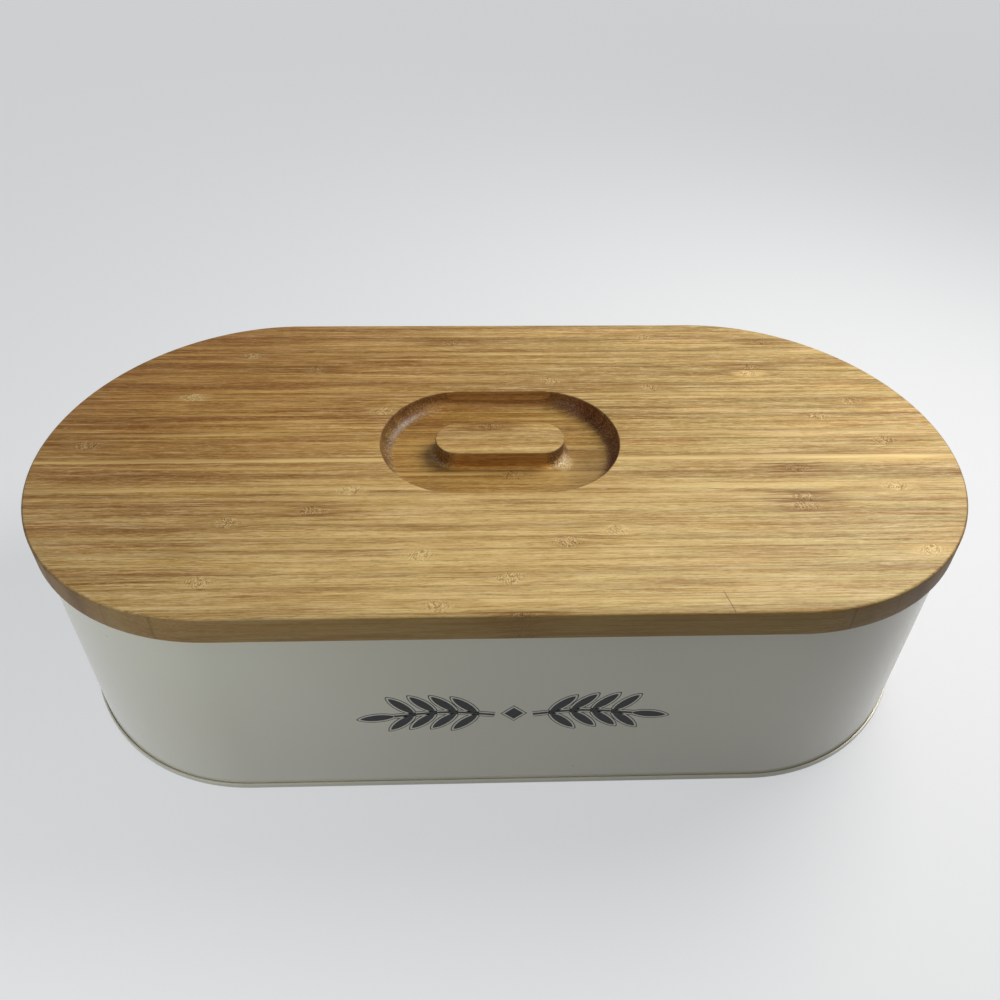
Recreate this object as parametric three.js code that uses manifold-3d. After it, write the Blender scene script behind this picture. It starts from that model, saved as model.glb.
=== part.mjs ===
// Bread box: an enamelled sheet-steel bin with a lift-off lid of edge-glued bamboo strips.
// Millimetres, +Z up, front towards -Y, origin on the table under the middle of the bin.

import * as THREE from 'three';
import { mergeVertices } from 'three/addons/utils/BufferGeometryUtils.js';
import Module from 'manifold-3d';

const wasm = await Module();
wasm.setup();

// Overall size, over the lid
const LID_LENGTH = 430;
const LID_WIDTH = 204;
const TOTAL_HEIGHT = 120;

// Lid board
const LID_EDGE_THICKNESS = 14;
const LID_OVERHANG = 2.5;
const LID_EDGE_RADIUS = 1.2;
const PLUG_DEPTH = 5;
const PLUG_CLEARANCE = 1.5;
const PLUG_CHAMFER = 1;

// Bamboo strips that the board is glued up from: whole ones between two that its outline narrows
const STRIP_WIDTH = 6.2;
const FRONT_STRIP_WIDTH = 1.9;
const BACK_STRIP_WIDTH = 3.7;

// Finger recess routed into the lid, and the grip left standing in it
const RECESS_LENGTH = 114;
const RECESS_WIDTH = 74;
const RECESS_DEPTH = 9;
const RECESS_COVE = 6.5;
const GRIP_LENGTH = 62;
const GRIP_WIDTH = 22.6;
const GRIP_ROOT_COVE = 3;
const EDGE_BREAK = 0.6;

// Sheet-steel bin
const WALL_THICKNESS = 0.8;
const SIDE_LAP_WIDTH = 6;
const RIM_CURL_DIAMETER = 4;
const PAN_THICKNESS = 0.7;
const PAN_RECESS = 3.5;
const PAN_CORNER_RADIUS = 1.2;
const SEAM_HEIGHT = 2.6;
const SEAM_CLEARANCE = 0.3;
const SEAM_EDGE_RADIUS = 0.3;

// Steps of the round shapes, and how far a cutter runs past what it cuts
const END_STEPS = 28;
const COVE_STEPS = 5;
const CURL_STEPS = 9;
const EDGE_STEPS = 2;
const CUT_OVERRUN = 3;

// Heights and outlines that follow from the sizes above
const SEAT_Z = TOTAL_HEIGHT - LID_EDGE_THICKNESS;
const RECESS_FLOOR_Z = TOTAL_HEIGHT - RECESS_DEPTH;
const LID = { length: LID_LENGTH, width: LID_WIDTH };
const BIN = { length: LID_LENGTH - 2 * LID_OVERHANG, width: LID_WIDTH - 2 * LID_OVERHANG };
const RECESS = { length: RECESS_LENGTH, width: RECESS_WIDTH };
const GRIP = { length: GRIP_LENGTH, width: GRIP_WIDTH };

const bamboo = new THREE.MeshStandardMaterial({ color: 0xb9935a, roughness: 0.5, metalness: 0 });
const bambooDark = new THREE.MeshStandardMaterial({ color: 0xa67f49, roughness: 0.5, metalness: 0 });
const enamel = new THREE.MeshStandardMaterial({ color: 0xe6e3d8, roughness: 0.25, metalness: 0.1 });

// Point of an arc in a section: centre, radius and angle in quarter turns from straight out
function arcPoint([offset, z], radius, quarters) {
  const angle = (quarters * Math.PI) / 2;
  return [offset + radius * Math.cos(angle), z + radius * Math.sin(angle)];
}

// Arc of a section from one angle to another, both in quarter turns
function arc(centre, radius, from, to, steps) {
  const points = [];
  for (let i = 0; i <= steps; i++) {
    points.push(arcPoint(centre, radius, from + ((to - from) * i) / steps));
  }
  return points;
}

// Round-ended outline grown outwards by offset, anticlockwise from the front right
function outlinePoints({ length, width }, offset) {
  const radius = width / 2 + offset;
  const endCentre = (length - width) / 2;
  const points = [];
  for (const side of [1, -1]) {
    for (let i = 0; i <= END_STEPS; i++) {
      const angle = Math.PI * (i / END_STEPS - side / 2);
      points.push([side * endCentre + radius * Math.cos(angle), radius * Math.sin(angle)]);
    }
  }
  return points;
}

// Section of [offset, z] points carried round an outline. The section runs upwards on its outer
// side. It closes on itself, or its first and last rings are filled in.
function sweep(outline, section, closed) {
  const rings = section.map(([offset, z]) => outlinePoints(outline, offset).map(([x, y]) => [x, y, z]));
  const around = rings[0].length;
  const triangles = [];
  const ringPairs = closed ? rings.length : rings.length - 1;
  for (let k = 0; k < ringPairs; k++) {
    const low = k * around;
    const high = ((k + 1) % rings.length) * around;
    for (let j = 0; j < around; j++) {
      const next = (j + 1) % around;
      triangles.push(low + j, low + next, high + next, low + j, high + next, high + j);
    }
  }
  if (!closed) {
    const top = (rings.length - 1) * around;
    for (let j = 1; j < around - 1; j++) {
      triangles.push(0, j + 1, j, top, top + j, top + j + 1);
    }
  }
  const geometry = new THREE.BufferGeometry();
  geometry.setAttribute('position', new THREE.Float32BufferAttribute(rings.flat(2), 3));
  geometry.setIndex(triangles);
  return geometry;
}

function toSolid(geometry) {
  const vertProperties = new Float32Array(geometry.getAttribute('position').array);
  const triVerts = new Uint32Array(geometry.getIndex().array);
  return new wasm.Manifold(new wasm.Mesh({ numProp: 3, vertProperties, triVerts }));
}

function toGeometry(solid) {
  const mesh = solid.getMesh();
  const geometry = new THREE.BufferGeometry();
  geometry.setAttribute('position', new THREE.BufferAttribute(mesh.vertProperties, 3));
  geometry.setIndex(new THREE.BufferAttribute(mesh.triVerts, 1));
  return geometry;
}

// Whole lid board: a plug that drops inside the rim, the seat, and a softened outer edge
function lidBoard() {
  const plug = -(LID_OVERHANG + RIM_CURL_DIAMETER + PLUG_CLEARANCE);
  const lowEdge = [-LID_EDGE_RADIUS, SEAT_Z + LID_EDGE_RADIUS];
  const highEdge = [-LID_EDGE_RADIUS, TOTAL_HEIGHT - LID_EDGE_RADIUS];
  return toSolid(sweep(LID, [
    [plug - PLUG_CHAMFER, SEAT_Z - PLUG_DEPTH],
    [plug, SEAT_Z - PLUG_DEPTH + PLUG_CHAMFER],
    [plug, SEAT_Z],
    ...arc(lowEdge, LID_EDGE_RADIUS, -1, 0, EDGE_STEPS),
    ...arc(highEdge, LID_EDGE_RADIUS, 0, 1, EDGE_STEPS),
  ], false));
}

// Recess with a coved wall, cut round the grip, which keeps its own coved root
function recessCutter() {
  const above = TOTAL_HEIGHT + CUT_OVERRUN;
  const hollow = toSolid(sweep(RECESS, [
    ...arc([-RECESS_COVE, RECESS_FLOOR_Z + RECESS_COVE], RECESS_COVE, -1, 0, COVE_STEPS),
    [0, TOTAL_HEIGHT - EDGE_BREAK],
    [EDGE_BREAK, TOTAL_HEIGHT],
    [EDGE_BREAK, above],
  ], false));
  const grip = toSolid(sweep(GRIP, [
    [GRIP_ROOT_COVE, RECESS_FLOOR_Z - CUT_OVERRUN],
    ...arc([GRIP_ROOT_COVE, RECESS_FLOOR_Z + GRIP_ROOT_COVE], GRIP_ROOT_COVE, 3, 2, COVE_STEPS),
    [0, TOTAL_HEIGHT - EDGE_BREAK],
    [-EDGE_BREAK, TOTAL_HEIGHT],
    [-EDGE_BREAK, above + CUT_OVERRUN],
  ], false));
  return hollow.subtract(grip);
}

// Box centred across the model, with its front, back, lowest and highest faces at given places
function boxSolid(width, front, back, low, high) {
  const box = new THREE.BoxGeometry(width, 1, 1);
  box.deleteAttribute('normal');
  box.deleteAttribute('uv');
  const corners = box.getAttribute('position');
  for (let i = 0; i < corners.count; i++) {
    corners.setY(i, corners.getY(i) < 0 ? front : back);
    corners.setZ(i, corners.getZ(i) < 0 ? low : high);
  }
  return toSolid(mergeVertices(box));
}

// Block over the whole lid between two glue lines
function stripBlock(front, back) {
  const reach = LID_LENGTH / 2 + CUT_OVERRUN;
  return boxSolid(2 * reach, front, back, -CUT_OVERRUN, TOTAL_HEIGHT + CUT_OVERRUN);
}

// Glue lines across the lid, from its front edge to its back edge. Whole strips share what the
// two edge strips leave.
function glueLines() {
  const edge = LID_WIDTH / 2;
  const shared = LID_WIDTH - FRONT_STRIP_WIDTH - BACK_STRIP_WIDTH;
  const wholeStrips = Math.round(shared / STRIP_WIDTH);
  const lines = [-edge];
  for (let i = 0; i <= wholeStrips; i++) {
    lines.push(FRONT_STRIP_WIDTH - edge + (shared * i) / wholeStrips);
  }
  lines.push(edge);
  return lines;
}

// Lap where the two ends of the wall's sheet are welded, inside the middle of the back. It runs
// from the pan's floor to the curl, and reaches half a sheet into the wall that it is welded to.
function sideLap() {
  const outside = BIN.width / 2;
  const front = outside - 2 * WALL_THICKNESS;
  const back = outside - WALL_THICKNESS / 2;
  const low = PAN_RECESS + PAN_THICKNESS + SEAM_CLEARANCE;
  const high = SEAT_Z - RIM_CURL_DIAMETER - SEAM_CLEARANCE;
  return boxSolid(SIDE_LAP_WIDTH, front, back, low, high);
}

// The two edge strips are named for their side, and the whole strips are numbered from the front
function stripName(index, last) {
  if (index === 0) return 'lid_strip_front';
  if (index === last) return 'lid_strip_back';
  return `lid_strip_${String(index).padStart(2, '0')}`;
}

// Sheet wall: straight up from the seam, then rolled inwards into an open curl at the rim
function binWall() {
  const curlRadius = RIM_CURL_DIAMETER / 2;
  const curlCentre = [-curlRadius, SEAT_Z - curlRadius];
  const band = sweep(BIN, [
    [-WALL_THICKNESS, PAN_THICKNESS],
    [0, PAN_THICKNESS],
    ...arc(curlCentre, curlRadius, 0, 3, CURL_STEPS),
    ...arc(curlCentre, curlRadius - WALL_THICKNESS, 3, 0, CURL_STEPS),
  ], true);
  return toGeometry(toSolid(band).add(sideLap()));
}

// Bottom pan: raised floor, a wall down to the table, and a channel folded up round the bin's foot
function basePan() {
  const channelInside = -(WALL_THICKNESS + SEAM_CLEARANCE);
  const legInside = channelInside - PAN_THICKNESS;
  const beadOutside = SEAM_CLEARANCE + PAN_THICKNESS;
  const floorTop = PAN_RECESS + PAN_THICKNESS;
  const outerBend = PAN_CORNER_RADIUS;
  const innerBend = PAN_CORNER_RADIUS - PAN_THICKNESS;
  const lowBead = [beadOutside - SEAM_EDGE_RADIUS, SEAM_EDGE_RADIUS];
  const highBead = [beadOutside - SEAM_EDGE_RADIUS, SEAM_HEIGHT - SEAM_EDGE_RADIUS];
  return sweep(BIN, [
    ...arc([legInside - innerBend, PAN_RECESS - innerBend], innerBend, 1, 0, EDGE_STEPS),
    [legInside, 0],
    ...arc(lowBead, SEAM_EDGE_RADIUS, -1, 0, EDGE_STEPS),
    ...arc(highBead, SEAM_EDGE_RADIUS, 0, 1, EDGE_STEPS),
    [SEAM_CLEARANCE, SEAM_HEIGHT],
    [SEAM_CLEARANCE, PAN_THICKNESS],
    [channelInside, PAN_THICKNESS],
    ...arc([channelInside - outerBend, floorTop - outerBend], outerBend, 0, 1, EDGE_STEPS),
  ], false);
}

function addMesh(parent, name, geometry, material) {
  const mesh = new THREE.Mesh(geometry, material);
  mesh.name = name;
  parent.add(mesh);
}

const breadBox = new THREE.Group();

const bin = new THREE.Group();
addMesh(bin, 'bin_wall', binWall(), enamel);
addMesh(bin, 'base_pan', basePan(), enamel);
breadBox.add(bin);

const lid = new THREE.Group();
const board = lidBoard().subtract(recessCutter());
const lines = glueLines();
const lastStrip = lines.length - 2;
for (let i = 0; i <= lastStrip; i++) {
  const strip = board.intersect(stripBlock(lines[i], lines[i + 1]));
  addMesh(lid, stripName(i, lastStrip), toGeometry(strip), i % 2 ? bambooDark : bamboo);
}
breadBox.add(lid);

export default breadBox;
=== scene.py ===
import math

import bmesh
import bpy
from mathutils import Matrix, Vector


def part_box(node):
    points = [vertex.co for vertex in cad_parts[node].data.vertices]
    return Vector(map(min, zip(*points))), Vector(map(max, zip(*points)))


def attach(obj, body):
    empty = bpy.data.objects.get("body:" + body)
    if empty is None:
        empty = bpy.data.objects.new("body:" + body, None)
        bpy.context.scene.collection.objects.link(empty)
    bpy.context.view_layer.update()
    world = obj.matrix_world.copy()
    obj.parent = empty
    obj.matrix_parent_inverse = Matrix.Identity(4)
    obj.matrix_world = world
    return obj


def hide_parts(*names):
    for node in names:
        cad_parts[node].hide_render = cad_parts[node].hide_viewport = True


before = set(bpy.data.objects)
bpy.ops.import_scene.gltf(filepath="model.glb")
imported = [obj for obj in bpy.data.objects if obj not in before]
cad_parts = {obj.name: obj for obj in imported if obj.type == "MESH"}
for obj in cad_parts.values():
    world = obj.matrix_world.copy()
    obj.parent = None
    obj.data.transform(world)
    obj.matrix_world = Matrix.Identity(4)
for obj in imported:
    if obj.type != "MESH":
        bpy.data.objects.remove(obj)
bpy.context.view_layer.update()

MM = 0.001

# Sizes read from the frame, in metres
STRIPS = ["lid_strip_front"] + [f"lid_strip_{i:02d}" for i in range(1, 33)] + ["lid_strip_back"]
STRIP_BOXES = [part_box(name) for name in STRIPS]
GLUE_LINES = [low.y for low, high in STRIP_BOXES] + [STRIP_BOXES[-1][1].y]
STRIP_PITCH = (GLUE_LINES[-2] - GLUE_LINES[1]) / (len(STRIPS) - 2)
LID_LENGTH = max(high.x for low, high in STRIP_BOXES) * 2
LID_WIDTH = GLUE_LINES[-1] - GLUE_LINES[0]
TOP_Z = max(high.z for low, high in STRIP_BOXES)
PLUG_Z = min(low.z for low, high in STRIP_BOXES)
WALL_LOW, WALL_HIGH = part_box("bin_wall")
BIN_LENGTH = WALL_HIGH.x - WALL_LOW.x
BIN_WIDTH = WALL_HIGH.y - WALL_LOW.y
SEAT_Z = WALL_HIGH.z
PAN_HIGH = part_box("base_pan")[1]

# Sizes of the lid's routed shapes and of the sheet, in metres
OVERHANG = (LID_WIDTH - BIN_WIDTH) / 2
EDGE_RADIUS = 1.2 * MM
PLUG_CLEARANCE = 1.5 * MM
PLUG_CHAMFER = 1 * MM
RECESS_LENGTH = 114 * MM
RECESS_WIDTH = 74 * MM
RECESS_FLOOR_Z = TOP_Z - 9 * MM
RECESS_COVE = 6.5 * MM
GRIP_LENGTH = 62 * MM
GRIP_WIDTH = 22.6 * MM
GRIP_ROOT_COVE = 3 * MM
EDGE_BREAK = 0.6 * MM
SHEET = 0.8 * MM
CURL_RADIUS = 2 * MM
PAN_SHEET = 0.7 * MM
SEAM_CLEARANCE = 0.3 * MM
SEAM_HEIGHT = 2.6 * MM
SEAM_EDGE_RADIUS = 0.3 * MM
PAN_CORNER_RADIUS = 1.2 * MM
SIDE_LAP_WIDTH = 6 * MM

# Steps of the round shapes, the angle of a sharp edge, and the distance at which points are one
END_STEPS = 72
COVE_STEPS = 12
CURL_STEPS = 27
EDGE_STEPS = 5
SHARP_ANGLE = math.radians(35)
SAME_POINT = 1e-7

# Board parts, and the marks of the strips, counted from the front: where two knuckles lie as
# shares of the half length, how dark they are, and how strong a pale line runs down the strip
BOARD_PARTS = 6
OFF_STRIP = -3.0
STRIP_MARKS = {
    0: (0.025, OFF_STRIP, 0.9, 0.0), 1: (-0.12, OFF_STRIP, 0.1, 0.3), 3: (-0.55, 0.01, 0.3, 0.0),
    5: (-0.16, 0.81, 0.0, 0.2), 6: (0.12, OFF_STRIP, 0.5, 0.0), 7: (0.22, OFF_STRIP, 0.1, 0.0),
    8: (-0.54, OFF_STRIP, 0.5, 0.0), 9: (-0.38, 0.61, 0.7, 0.0), 10: (0.62, OFF_STRIP, 1.0, 0.3),
    11: (-0.31, 0.82, 0.2, 0.5), 13: (0.63, OFF_STRIP, 1.0, 0.0), 14: (0.027, OFF_STRIP, 0.6, 1.0),
    16: (-0.90, 0.86, 0.6, 0.0), 17: (OFF_STRIP, OFF_STRIP, 0.5, 0.4), 18: (-0.02, OFF_STRIP, 1.0, 0.0),
    19: (0.74, OFF_STRIP, 0.6, 0.0), 20: (-0.268, OFF_STRIP, 0.4, 0.0),
    21: (0.84, OFF_STRIP, 0.6, 0.0), 22: (-0.72, OFF_STRIP, 0.2, 0.3), 23: (0.37, OFF_STRIP, 0.6, 0.0),
    24: (0.13, OFF_STRIP, 0.5, 0.0), 25: (0.63, OFF_STRIP, 0.1, 0.0), 26: (-0.45, 0.64, 0.8, 0.0),
    28: (-0.62, OFF_STRIP, 0.5, 0.3), 30: (-0.12, 0.70, 0.8, 0.0), 31: (0.39, OFF_STRIP, 0.5, 0.0),
}
UNMARKED = (OFF_STRIP, OFF_STRIP, 0.5, 0.0)

# Range that holds every mark of a strip, half of it below 0
MARK_RANGE = 8.0

# Streaks of the bamboo: length and width in millimetres, then detail and roughness of the noise
STREAKS = {
    "wide": (90.0, 5.0, 2.0, 0.5),
    "broad": (62.0, 1.7, 3.0, 0.6),
    "medium": (32.0, 0.7, 3.0, 0.65),
    "thin": (120.0, 0.42, 1.0, 0.5),
    "fine": (4.4, 0.26, 3.0, 0.7),
    "dashes": (6.0, 0.4, 1.0, 0.5),
    "ruddy": (55.0, 9.0, 2.0, 0.5),
}

# How the fibres run, in millimetres: their shift from strip to strip, their waver, and their swell,
# lean and shift at a knuckle
FIBRE_SHIFT_X = 700.0
FIBRE_SHIFT_Y = 90.0
WAVER = 1.4
SWELL = -2.6
KNUCKLE_LEAN = 6.0
KNUCKLE_SHIFT = 50.0

# How far the marks of a knuckle reach along the strip, in millimetres: where they end and where they
# are full, and how much sooner they end towards the edges of the strip
CORE_REACH = (9.5, 3.0)
LENS_REACH = (16.0, 3.0)
HALO_REACH = (27.0, 3.0)
BORDER_REACH = (19.0, 6.0)
SWELL_REACH = 14.0
CORE_TAPER = 9.0
LENS_TAPER = 8.0

# Noise that frays those ends: its scales along x and y, and its depth in millimetres
RAGGED_EDGE = (0.13, 0.9, 14.0)
TORN_EDGE = (0.5, 1.1, 9.0)

# Where the painted light, sheen and shade of the board come in, in millimetres from the lid's middle:
# the place where each begins, then the place where it is full
FRONT_FADE = (30.0, -85.0)
REAR_FADE = (-10.0, 95.0)
LEFT_FADE = (60.0, -200.0)
LEFT_FADE_Y = (-95.0, 10.0)
LEFT_REAR_FADE_Y = (-80.0, 40.0)
RIGHT_FADE = (-60.0, 140.0)
# Painted light along the middle of the front: where it centres, and its fades
PAINTED_LIGHT_X = 20.0
PAINTED_LIGHT_FADE_X = (170.0, 60.0)
PAINTED_LIGHT_FADE_Y = (20.0, -90.0)

# Pale line of a strip: where it widens towards the right, in millimetres, then its place across the
# strip, its half width before and after, and the half width of its core, as shares of the strip
PALE_LINE_WIDENS = (40.0, 150.0)
PALE_LINE_PLACE = 0.68
PALE_LINE_REACH = (0.26, 0.46)
PALE_LINE_CORE = 0.08

# Where the recess begins for its painted shade and finish, in millimetres from the lid's top, its own
# floor and its edge
BELOW_TOP = (-0.3, -0.8)
FROM_FLOOR = (-1.0, -0.2)
PAST_RECESS = (2.0, 1.0)

# Where that finish and the painted light and shade change, in millimetres from the lid's middle along x
# and y, and up from the floor:
# on the end grain of the coves, where painted shade deepens to the right, at the foot of the grip's
# front, lightened as painted light, and at the painted highlight on its right
COVE_SHADE_FADE = (-50.0, 40.0)
RIGHT_COVE_SHADE_FADE = (24.0, 44.0)
GLOSS_FADE = (44.0, 38.0)
MATT_FADE = (38.0, 44.0)
FOOT_TOP = (3.4, 1.2)
FOOT_BOTTOM = (0.05, 0.5)
FOOT_REAR = (2.0, -6.0)
FOOT_FRONT = (-20.0, -17.0)
FOOT_ENDS = (40.0, 37.0)
HIGHLIGHT_X = 30.0
HIGHLIGHT_Y = -8.0
HIGHLIGHT_RADIUS = 5.83
HIGHLIGHT_STRETCH = 1.25
HIGHLIGHT_TOP = (4.0, 1.5)

# Scratch on the lid, in millimetres, and its lean as a share
SCRATCH_FRONT_X = 85.5
SCRATCH_FRONT_Y = -100.7
SCRATCH_REACH = 10.3
SCRATCH_FADE = 3.0
SCRATCH_WIDTH = (0.35, 0.1)
SCRATCH_LEAN = 0.21

# Printed ornament, in metres and radians, with places on it as shares
ORNAMENT_X = 4 * MM
ORNAMENT_Z = 53.5 * MM
STEM_START = 8 * MM
STEM_END = 50 * MM
STEM_BOW = 1.6 * MM
STEM_BOW_FROM = 0.12
STEM_BOW_TURN = math.pi * 1.35
STEM_WIDTH = 1.3 * MM
GRAIN_PAIRS = 4
GRAINS_FROM = 0.16
SIDE_GRAIN_REACH = 0.56
TIP_GRAIN_REACH = 0.5
GRAIN_TIP_GROWTH = 1.5
GRAIN_POINT = 0.4
GRAIN_LENGTH = 14.5 * MM
GRAIN_WIDTH = 4 * MM
GRAIN_SPREAD = math.radians(46)
GRAIN_STEPS = 14
LOZENGE_SIZE = 8 * MM
LOZENGE_CORNER_GROWTH = 1.4
OUTLINE_GAP = 0.75 * MM
OUTLINE_WIDTH = 0.4 * MM
PRINT_LAYER = 0.015 * MM

# Camera, from the photograph: focal length as a share of the picture's width, and where the
# optical axis meets the picture, which was cropped at its lower edge
PICTURE_WIDTH = 1000
FOCAL_SHARE = 0.7845
AXIS_PIXEL_Y = 345.2
CAMERA_YAW = 0.0343
CAMERA_PITCH = 0.5823
CAMERA_ROLL = -0.0152
CAMERA_PLACE = Vector((-10.65, -289.3, 363.6)) * MM
CAMERA_NEAR = 0.01
SENSOR_WIDTH = 36

# Lamps, in metres and watts
WINDOW = {
    "place": (0.4, 0.16, 0.6),
    "target": (0.02, -0.02, 0.1),
    "size": 0.36,
    "power": 3.8,
    "colour": (1.0, 0.975, 0.92),
}
FILL = {
    "place": (-0.32, -0.34, 0.16),
    "target": (-0.12, 0, 0.06),
    "size": 0.24,
    "power": 0.38,
    "colour": (0.88, 0.97, 1.0),
}

# Surround: where its brightest side lies, the reach of its shading, its levels and its colour
BRIGHT_SIDE = (-0.3, 0.57, 0.765)
SURROUND_FADE = (-0.9, 0.9)
SURROUND_LEVELS = (0.04, 0.3)
SURROUND_COLOUR = (0.96, 0.98, 1.0, 1)

# Floor in metres, its colours as it lights the object and as it is seen, its finish, and the levels
# of its own glow and of the backdrop, where 1 is white
FLOOR_SIZE = 6
FLOOR_COLOUR = (0.17, 0.172, 0.175, 1)
FLOOR_SEEN_COLOUR = (0.36, 0.365, 0.37, 1)
FLOOR_ROUGHNESS = 0.7
FLOOR_SPECULAR = 0.2
GLOW_COLOUR = (0.97, 0.98, 1.0, 1)
FLOOR_GLOW = 0.5
BACKDROP_LEVEL = 0.74


# Meshes

def outline(length, width, offset):
    """Round-ended outline grown outwards by offset, anticlockwise from the front right."""
    radius = width / 2 + offset
    centre = (length - width) / 2
    points = []
    for side in (1, -1):
        for i in range(END_STEPS + 1):
            angle = math.pi * (i / END_STEPS - side / 2)
            points.append((side * centre + radius * math.cos(angle), radius * math.sin(angle)))
    return points


def arc(centre, radius, start, end, steps):
    """Points of an arc in a section, its angles in quarter turns from straight out."""
    points = []
    for i in range(steps + 1):
        angle = math.radians(90) * (start + (end - start) * i / steps)
        points.append((centre[0] + radius * math.cos(angle), centre[1] + radius * math.sin(angle)))
    return points


def add_ring(bm, length, width, offset, z):
    """Corners of an outline at one height."""
    return [bm.verts.new((x, y, z)) for x, y in outline(length, width, offset)]


def join_rings(bm, low, high):
    """Faces between a ring of corners and the next."""
    for i, corner in enumerate(low):
        after = (i + 1) % len(low)
        bm.faces.new((corner, low[after], high[after], high[i]))


def add_section(bm, length, width, section):
    """Section of (offset, z) points carried round an outline, upwards on its outer side."""
    rings = [add_ring(bm, length, width, offset, z) for offset, z in section]
    for low, high in zip(rings, rings[1:]):
        join_rings(bm, low, high)
    return rings


def add_block(bm, low, high):
    """Plain block between two corners."""
    made = bmesh.ops.create_cube(bm, size=1)
    size = Vector(high) - Vector(low)
    middle = (Vector(high) + Vector(low)) / 2
    for corner in made["verts"]:
        corner.co = middle + Vector([a * b for a, b in zip(corner.co, size)])


def finish_mesh(bm, name):
    """Named object with outward faces, smooth but for its sharp edges."""
    mesh = bpy.data.meshes.new(name)
    bmesh.ops.recalc_face_normals(bm, faces=bm.faces)
    bm.to_mesh(mesh)
    bm.free()
    mesh.polygons.foreach_set("use_smooth", [True] * len(mesh.polygons))
    mesh.set_sharp_from_angle(angle=SHARP_ANGLE)
    piece = bpy.data.objects.new(name, mesh)
    bpy.context.scene.collection.objects.link(piece)
    return piece


def lid_mesh():
    """The whole board as one closed surface: plug, seat, edge, top, recess and grip."""
    bm = bmesh.new()
    plug = -(OVERHANG + 2 * CURL_RADIUS + PLUG_CLEARANCE)
    outside = add_section(bm, LID_LENGTH, LID_WIDTH, [
        (plug - PLUG_CHAMFER, PLUG_Z),
        (plug, PLUG_Z + PLUG_CHAMFER),
        (plug, SEAT_Z),
        *arc((-EDGE_RADIUS, SEAT_Z + EDGE_RADIUS), EDGE_RADIUS, -1, 0, EDGE_STEPS),
        *arc((-EDGE_RADIUS, TOP_Z - EDGE_RADIUS), EDGE_RADIUS, 0, 1, EDGE_STEPS),
    ])
    bm.faces.new(list(reversed(outside[0])))
    recess = add_section(bm, RECESS_LENGTH, RECESS_WIDTH, [
        *arc((EDGE_BREAK, TOP_Z - EDGE_BREAK), EDGE_BREAK, 1, 2, EDGE_STEPS),
        *arc((-RECESS_COVE, RECESS_FLOOR_Z + RECESS_COVE), RECESS_COVE, 0, -1, COVE_STEPS),
    ])
    join_rings(bm, outside[-1], recess[0])
    root = (GRIP_ROOT_COVE, RECESS_FLOOR_Z + GRIP_ROOT_COVE)
    grip = add_section(bm, GRIP_LENGTH, GRIP_WIDTH, [
        *arc(root, GRIP_ROOT_COVE, 3, 2, COVE_STEPS),
        *arc((-EDGE_BREAK, TOP_Z - EDGE_BREAK), EDGE_BREAK, 0, 1, EDGE_STEPS),
    ])
    join_rings(bm, recess[-1], grip[0])
    bm.faces.new(grip[-1])
    return bm


def cut_board(bm, front, back):
    """Keeps what lies between two glue lines and fills in both cut faces."""
    for y, keep_above in ((front, True), (back, False)):
        everything = list(bm.verts) + list(bm.edges) + list(bm.faces)
        cut = bmesh.ops.bisect_plane(
            bm, geom=everything, dist=SAME_POINT, plane_co=(0, y, 0), plane_no=(0, 1, 0),
            clear_inner=keep_above, clear_outer=not keep_above,
        )
        edges = [e for e in cut["geom_cut"] if isinstance(e, bmesh.types.BMEdge)]
        bmesh.ops.contextual_create(bm, geom=edges)


def board_part(index):
    """One run of strips of the board, from glue line to glue line, cut from the whole."""
    per_part = len(STRIPS) / BOARD_PARTS
    first, last = round(index * per_part), round((index + 1) * per_part)
    bm = lid_mesh()
    reach = LID_WIDTH
    front = GLUE_LINES[first] if first else GLUE_LINES[0] - reach
    back = GLUE_LINES[last] if last < len(STRIPS) else GLUE_LINES[-1] + reach
    cut_board(bm, front, back)
    piece = finish_mesh(bm, f"bamboo_board_{index + 1}")
    piece.data.materials.append(bamboo(first, last))
    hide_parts(*STRIPS[first:last])
    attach(piece, "lid")
    return piece


def wall_mesh():
    """Steel band with its rim rolled inwards into an open curl."""
    bm = bmesh.new()
    centre = (-CURL_RADIUS, SEAT_Z - CURL_RADIUS)
    rings = add_section(bm, BIN_LENGTH, BIN_WIDTH, [
        (-SHEET, PAN_SHEET),
        (0, PAN_SHEET),
        *arc(centre, CURL_RADIUS, 0, 3, CURL_STEPS),
        *arc(centre, CURL_RADIUS - SHEET, 3, 0, CURL_STEPS),
    ])
    join_rings(bm, rings[-1], rings[0])
    gap = SEAM_CLEARANCE
    add_block(
        bm,
        (-SIDE_LAP_WIDTH / 2, BIN_WIDTH / 2 - 2 * SHEET, PAN_HIGH.z + gap),
        (SIDE_LAP_WIDTH / 2, BIN_WIDTH / 2 - SHEET / 2, SEAT_Z - 2 * CURL_RADIUS - gap),
    )
    return bm


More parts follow.
